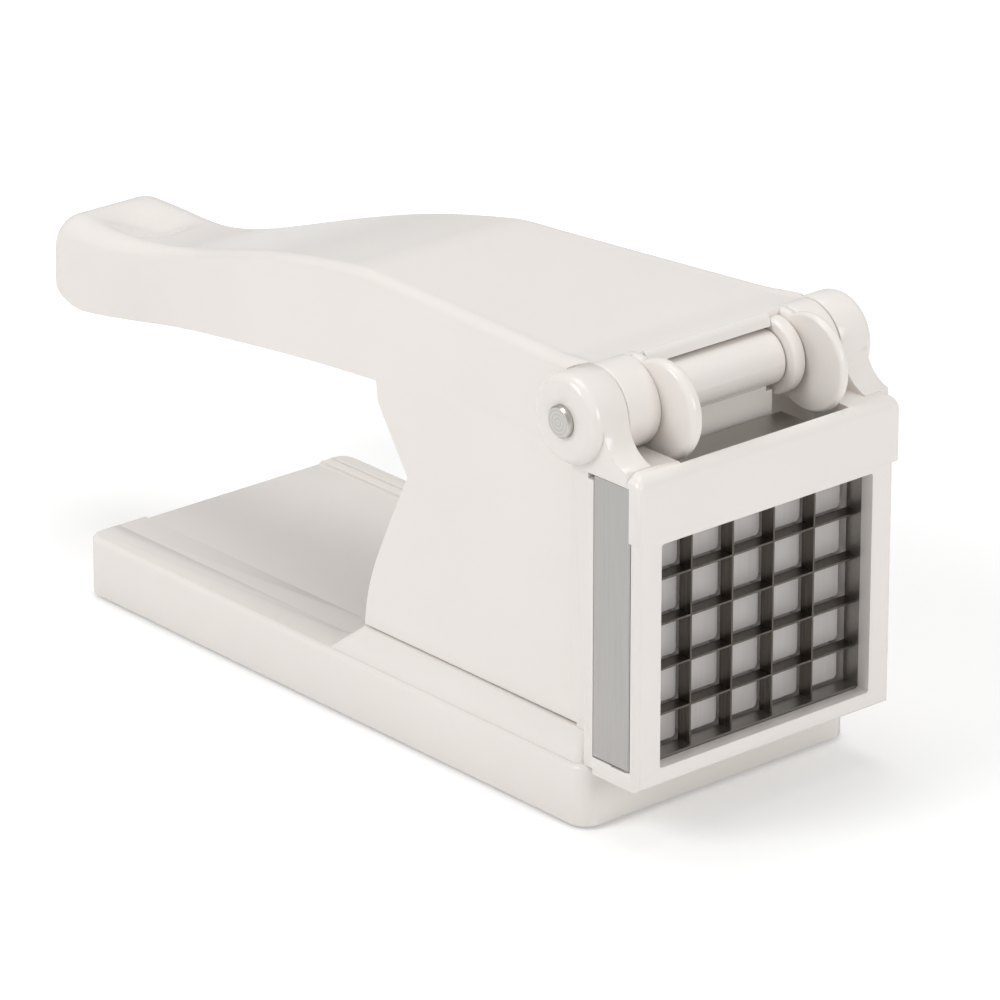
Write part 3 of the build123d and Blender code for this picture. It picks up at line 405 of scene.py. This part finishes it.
def leverFront(p, y, z):
    # front edge: the crown's reach between the hinge bosses; outside them the front, or the hinge's x
    # less the root of the notch's radius squared minus the height from the hinge squared, if that is less
    rise = np.clip(p["notch"] ** 2 - (z - hingeZ / mm) ** 2, 0, None)
    cut = np.where(rise > 0, hingeX / mm - np.sqrt(rise), p["frontX"])
    return np.where(np.abs(y) > p["notchSide"], np.minimum(cut, p["frontX"]), p["crownX"])


def leverRuns(p):
    # x along the closed end, which starts slowly as one minus a cosine, then even steps to the front
    heelX = p["belly"][0][0]
    turn = np.linspace(0, math.pi / 2, p["points"]["end"])
    endRun = p["endX"] + (heelX - p["endX"]) * (1 - np.cos(turn))
    handleRun = np.linspace(heelX, p["backX"], p["points"]["handle"])[1:]
    bodyRun = np.linspace(p["backX"], p["frontX"], p["points"]["body"])[1:]
    return endRun, handleRun, bodyRun


def leverOver(p, endRun, handleRun, bodyRun):
    # crown and sides: half a section goes from its lower edge up the side, round a quarter circle and over
    # to the middle, and the other half mirrors it; the dish is its depth times e to minus the fourth power
    # of the distance along, times the square of one less the square of the share across
    x = np.concatenate([endRun, handleRun, bodyRun])[None, :]
    crown, low = leverCrown(p, x), leverBelly(p, x)
    endPlanX, neckX = p["plan"][0][0], p["plan"][2][0]
    paddle = np.clip((neckX - x) / (neckX - endPlanX), 0, 1)
    wanted = p["edge"] + (p["endEdge"] - p["edge"]) * paddle
    edge = np.minimum(wanted, p["edgeLimit"] * (crown - low))
    inner = leverWidth(p, x, crown - edge) - edge
    up = np.linspace(0, 1, p["points"]["side"])[:, None]
    sideZ = low + (crown - edge - low) * up
    side = leverWidth(p, x, sideZ)
    corner = np.linspace(0, math.pi / 2, p["points"]["corner"])[1:, None]
    cornerY, cornerZ = inner + edge * np.cos(corner), crown - edge + edge * np.sin(corner)
    over = np.array(p["crownShares"])[:, None]
    dishX, dishRun, dishDepth = p["dish"]
    hollow = dishDepth * np.exp(-((x - dishX) / dishRun) ** 4) * (1 - over ** 2) ** 2
    y = np.concatenate([side, cornerY, inner * over])
    z = np.concatenate([sideZ, cornerZ, crown - hollow])
    y, z = np.concatenate([y, -y[-2::-1]]), np.concatenate([z, z[-2::-1]])
    share = np.clip((x - p["backX"]) / (p["frontX"] - p["backX"]), 0, 1)
    front = leverFront(p, y[:, -1:], z[:, -1:])
    sectionX = np.where(share > 0, p["backX"] + share * (front - p["backX"]), x)
    return np.stack([sectionX, y, z], -1)


def leverEnd(p, endRun):
    # the closed underside of the end: the belly's line there, carried across the full width
    across = np.linspace(-1, 1, p["points"]["across"])[:, None]
    low = leverBelly(p, endRun[None, :])
    side = leverWidth(p, endRun[None, :], low) * across
    return np.stack([endRun + 0 * across, side, low + 0 * across], -1)


def leverWall(p, bodyRun):
    # one wall from its foot up to the row that it shares with the section: its back edge is a natural
    # cubic up to the apex and straight lines above, and x is shared out evenly from there to the front
    apexZ = p["wallTop"][0][0]
    lowRun = np.linspace(p["footZ"], apexZ, p["points"]["wallLow"])
    highRun = np.linspace(apexZ, p["backZ"], p["points"]["wallHigh"])[1:]
    z = np.concatenate([lowRun, highRun])[:, None]
    back = np.where(z < apexZ, naturalCubic(p["wallBack"], z), np.interp(z, *np.array(p["wallTop"]).T))
    share = np.concatenate([[p["backX"]], bodyRun])[None, :]
    share = (share - p["backX"]) / (p["frontX"] - p["backX"])
    x = back + share * (p["frontX"] - back)
    return x, leverWidth(p, x, z), z + 0 * x


def leverLip(p):
    # the lip that bends down from the crown over the pusher's barrel: its line in (x, z), carried across
    lipX, lipZ = (np.array(line)[None, :] for line in zip(*p["lip"]))
    side = np.linspace(-p["lipSide"], p["lipSide"], p["points"]["across"])[:, None]
    return np.stack([lipX + 0 * side, side + 0 * lipX, lipZ + 0 * side], -1)


def leverGrids(p):
    endRun, handleRun, bodyRun = leverRuns(p)
    wallX, wallY, wallZ = leverWall(p, bodyRun)
    return [
        (leverOver(p, endRun, handleRun, bodyRun), True),
        (leverEnd(p, endRun), True),
        (np.stack([wallX, wallY, wallZ], -1), True),
        (np.stack([wallX, -wallY, wallZ], -1), False),
        (leverLip(p), False),
    ]


def hubDiscs(p):
    # barrels and collar are round; a lobe reaches out to a circle whose centre is ahead of the hinge,
    # and never less than the barrel
    turn = np.linspace(0, 2 * math.pi, p["turns"])
    forward, radius = p["lobe"]
    nose = forward * np.cos(turn) + np.sqrt(radius ** 2 - (forward * np.sin(turn)) ** 2)
    reach = {
        "barrel": p["barrel"] + 0 * turn, "collar": p["collar"] + 0 * turn,
        "lobe": np.maximum(nose, p["barrel"]),
    }
    hub = (hingeX / mm, hingeZ / mm)
    return [
        (boredDisc(hub, reach[kind], p["bore"], low, high, rim), True)
        for kind, low, high, rim in p["discs"]
    ]


def joined(name, pieces):
    # one object from several, each with its modifiers carried out
    bpy.context.view_layer.update()
    graph = bpy.context.evaluated_depsgraph_get()
    work, material = bmesh.new(), pieces[0].data.materials[0]
    for piece in pieces:
        work.from_mesh(bpy.data.meshes.new_from_object(piece.evaluated_get(graph)))
    mesh = bpy.data.meshes.new(name)
    work.to_mesh(mesh)
    work.free()
    mesh.materials.append(material)
    for piece in pieces:
        bpy.data.objects.remove(piece)
    return addObject(name, mesh)


def buildLever(p):
    skin = buildMesh("leverSkin", leverGrids(p), whiteAbs, p["skinWeld"])
    thick = skin.modifiers.new("wall", "SOLIDIFY")
    thick.thickness, thick.offset = p["wall"] * mm, -1.0
    soften(skin, **p["softEdge"])
    hubs = buildMesh("leverHubs", hubDiscs(p), whiteAbs, p["hubWeld"])
    whole = joined("leverMoulding", [skin, hubs])
    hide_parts(p["node"])
    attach(whole, "lever")
    print("lever", len(whole.data.polygons), "faces")


buildLever(lever)


# softened copies of CAD pieces: bevel width in millimetres, angle in degrees
softCopies = {
    "pusher_tooth_plate": {"body": "lever", "slot": "white_abs", "width": 0.3, "angle": 60, "segments": 2},
    "grid_frame": {"body": "base", "slot": "white_abs", "width": 0.35, "angle": 50, "segments": 2},
    "base_shell": {"body": "base", "slot": "white_abs", "width": 0.5, "angle": 40, "segments": 2},
    "cassette_side_plate": {
        "body": "cassette", "slot": "brushed_sheet", "width": 0.25, "angle": 35, "segments": 3,
    },
}
copyWeld, flatAngle = 0.004, 0.5

# every piece that isn't a blade or a screw has its finish here
nodeFinish = {
    "base_shell": whiteAbs, "grid_frame": whiteAbs, "lever_shell": whiteAbs, "pusher_block": whiteAbs,
    "pusher_tooth_plate": toothAbsPaintedShade, "handle_underside_cover": whiteAbs, "base_bottom_plate": innerAbs,
    "rubber_feet": footRubber, "cassette_frame": flangeSteel, "cassette_side_plate": sheetSteel,
    "cassette_detent_spring": sheetSteel, "hinge_pin": pinSteel, "pin_retaining_washer": pinSteel,
}


def softCopy(node, body, slot, width, angle, segments):
    # the node's own mesh, welded, merged into flat faces and bevelled
    source = frame["nodes"][node]
    mesh = source.data.copy()
    mesh.transform(source.matrix_world)
    work = bmesh.new()
    work.from_mesh(mesh)
    bmesh.ops.remove_doubles(work, verts=work.verts, dist=copyWeld * mm)
    flat = math.radians(flatAngle)
    bmesh.ops.dissolve_limit(work, angle_limit=flat, verts=work.verts, edges=work.edges)
    work.to_mesh(mesh)
    work.free()
    mesh.polygons.foreach_set("use_smooth", np.ones(len(mesh.polygons), bool))
    piece = addObject(node + "Soft", mesh)
    mesh.materials.clear()
    mesh.materials.append(nodeFinish[node])
    soften(piece, width, angle, segments)
    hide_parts(node)
    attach(piece, body)
    print("softened", node)


for node, look in softCopies.items():
    softCopy(node, **look)
for node in frame["nodes"]:
    finish = nodeFinish.get(node, bladeSteelPaintedShade if node.startswith("blade") else screwSteel)
    dress(node, finish)
print("finishes on", len(frame["nodes"]), "nodes")


# studio: pale floor that keeps the shadow, white surround, soft lamps; metres
studio = {
    "floorHalf": 6.0, "floorColour": "#f4f4f4", "worldColour": "#ffffff", "worldStrength": 0.53,
    # the paper's glow near the machine and away from it, and where each begins; the weaker glow near the
    # machine is painted shade round it
    "paperGlowShadedNear": (0.2, 0.55), "glowReach": (0.2, 0.5),
    # each lamp stands toward the eye, to the side and up from the origin, and looks at the aim point
    "aimPoint": (0.03, 0.0, 0.05),
    "lamps": {
        "keyLamp": {"toEye": 0.5, "side": -0.9, "height": 0.9, "size": 0.6, "power": 5.4},
        "fillLamp": {"toEye": 0.9, "side": 0.9, "height": 0.5, "size": 0.6, "power": 3.8},
        "topLamp": {"toEye": -0.2, "side": 0.0, "height": 1.5, "size": 1.0, "power": 5.5},
    },
}


def paperFloor(s):
    # matt white paper; the camera sees it a little brighter than it is lit, more so away from the shadow:
    # the weaker glow near the machine is painted shade round it
    made, tree, shader = newMaterial("paperFloor")
    shader.inputs["Base Color"].default_value = linear(s["floorColour"])
    shader.inputs["Roughness"].default_value = 1.0
    shader.inputs["Specular IOR Level"].default_value = 0.0
    path = addNode(tree, "ShaderNodeLightPath")
    reach = addNode(tree, "ShaderNodeVectorMath", {"operation": "LENGTH"}, {0: objectPlace(tree)})
    (nearGlowPaintedShade, farGlow), (nearReach, farReach) = s["paperGlowShadedNear"], s["glowReach"]
    spread = {"From Min": nearReach, "From Max": farReach, "To Min": nearGlowPaintedShade, "To Max": farGlow}
    amount = addNode(tree, "ShaderNodeMapRange", spread, {"Value": reach.outputs["Value"]})
    white, strength = {"Color": (1.0, 1.0, 1.0, 1.0)}, {"Strength": amount.outputs["Result"]}
    glow = addNode(tree, "ShaderNodeEmission", white, strength)
    bothInputs = {0: shader.outputs["BSDF"], 1: glow.outputs["Emission"]}
    both = addNode(tree, "ShaderNodeAddShader", None, bothInputs)
    seen, plain, brighter = path.outputs["Is Camera Ray"], shader.outputs["BSDF"], both.outputs["Shader"]
    choose = addNode(tree, "ShaderNodeMixShader", None, {"Fac": seen, 1: plain, 2: brighter})
    output = next(n for n in tree.nodes if n.type == "OUTPUT_MATERIAL")
    tree.links.new(choose.outputs["Shader"], output.inputs["Surface"])
    return made


def buildFloor(s):
    half = s["floorHalf"]
    corners = [(-half, -half, 0), (half, -half, 0), (half, half, 0), (-half, half, 0)]
    mesh = bpy.data.meshes.new("floor")
    mesh.from_pydata(corners, [], [(0, 1, 2, 3)])
    floor = addObject("floor", mesh)
    mesh.materials.append(paperFloor(s))


def lightSurround(s):
    world = bpy.data.worlds.new("surround")
    bpy.context.scene.world = world
    world.use_nodes = True
    background = world.node_tree.nodes["Background"]
    background.inputs["Color"].default_value = linear(s["worldColour"])
    background.inputs["Strength"].default_value = s["worldStrength"]


def hangLamps(s):
    ahead = np.array([viewBack[0], viewBack[1], 0.0])
    ahead /= np.linalg.norm(ahead)
    for name, lamp in s["lamps"].items():
        data = bpy.data.lights.new(name, "AREA")
        data.shape, data.size, data.energy = "DISK", lamp["size"], lamp["power"]
        spot = ahead * lamp["toEye"] + viewRight * lamp["side"] + np.array([0, 0, lamp["height"]])
        aim = spot - np.array(s["aimPoint"])
        aim /= np.linalg.norm(aim)
        across = np.cross([0.0, 0.0, 1.0], aim)
        across /= np.linalg.norm(across)
        upward = np.cross(aim, across)
        addObject(name, data).matrix_world = pose(np.column_stack([across, upward, aim]), spot)


buildFloor(studio)
lightSurround(studio)
hangLamps(studio)
print("studio ready")
